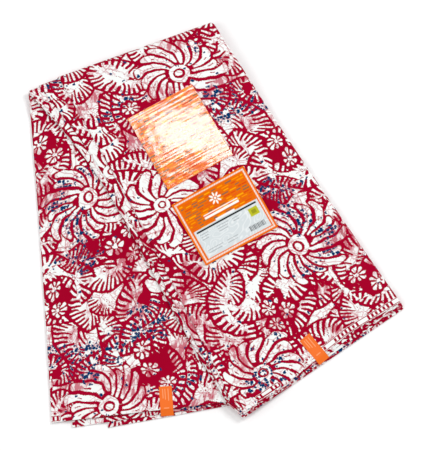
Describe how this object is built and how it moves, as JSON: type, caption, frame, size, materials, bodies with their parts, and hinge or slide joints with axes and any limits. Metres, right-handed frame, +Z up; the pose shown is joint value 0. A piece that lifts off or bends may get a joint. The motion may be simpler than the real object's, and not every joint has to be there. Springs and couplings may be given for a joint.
{
  "type": "folded length of printed cotton cloth",
  "caption": "Uncut length of wax-print cotton, folded to a flat strip and doubled over into a V, with blank labels, resting on a surface.",
  "frame": {"origin": "middle of the base of the whole object's box, on the surface that it rests on", "axes": "+Z up from the surface, +Y towards the turned edge of the strip, +X towards the side where the upper stretch ends"},
  "size_m": [0.6068, 0.6656, 0.0216],
  "materials": {
    "cotton": "crisp printed cotton, crimson and off-white with navy spots",
    "foil_label": "glossy orange foil",
    "card_label": "satin printed paper, orange with a pale panel",
    "tab": "satin orange paper"
  },
  "bodies": {
    "root": {"lower_stretch": "cotton", "upper_stretch": "cotton", "foil_label": "foil_label", "card_label": "card_label", "lower_tab": "tab", "upper_tab": "tab"}
  },
  "joints": []
}
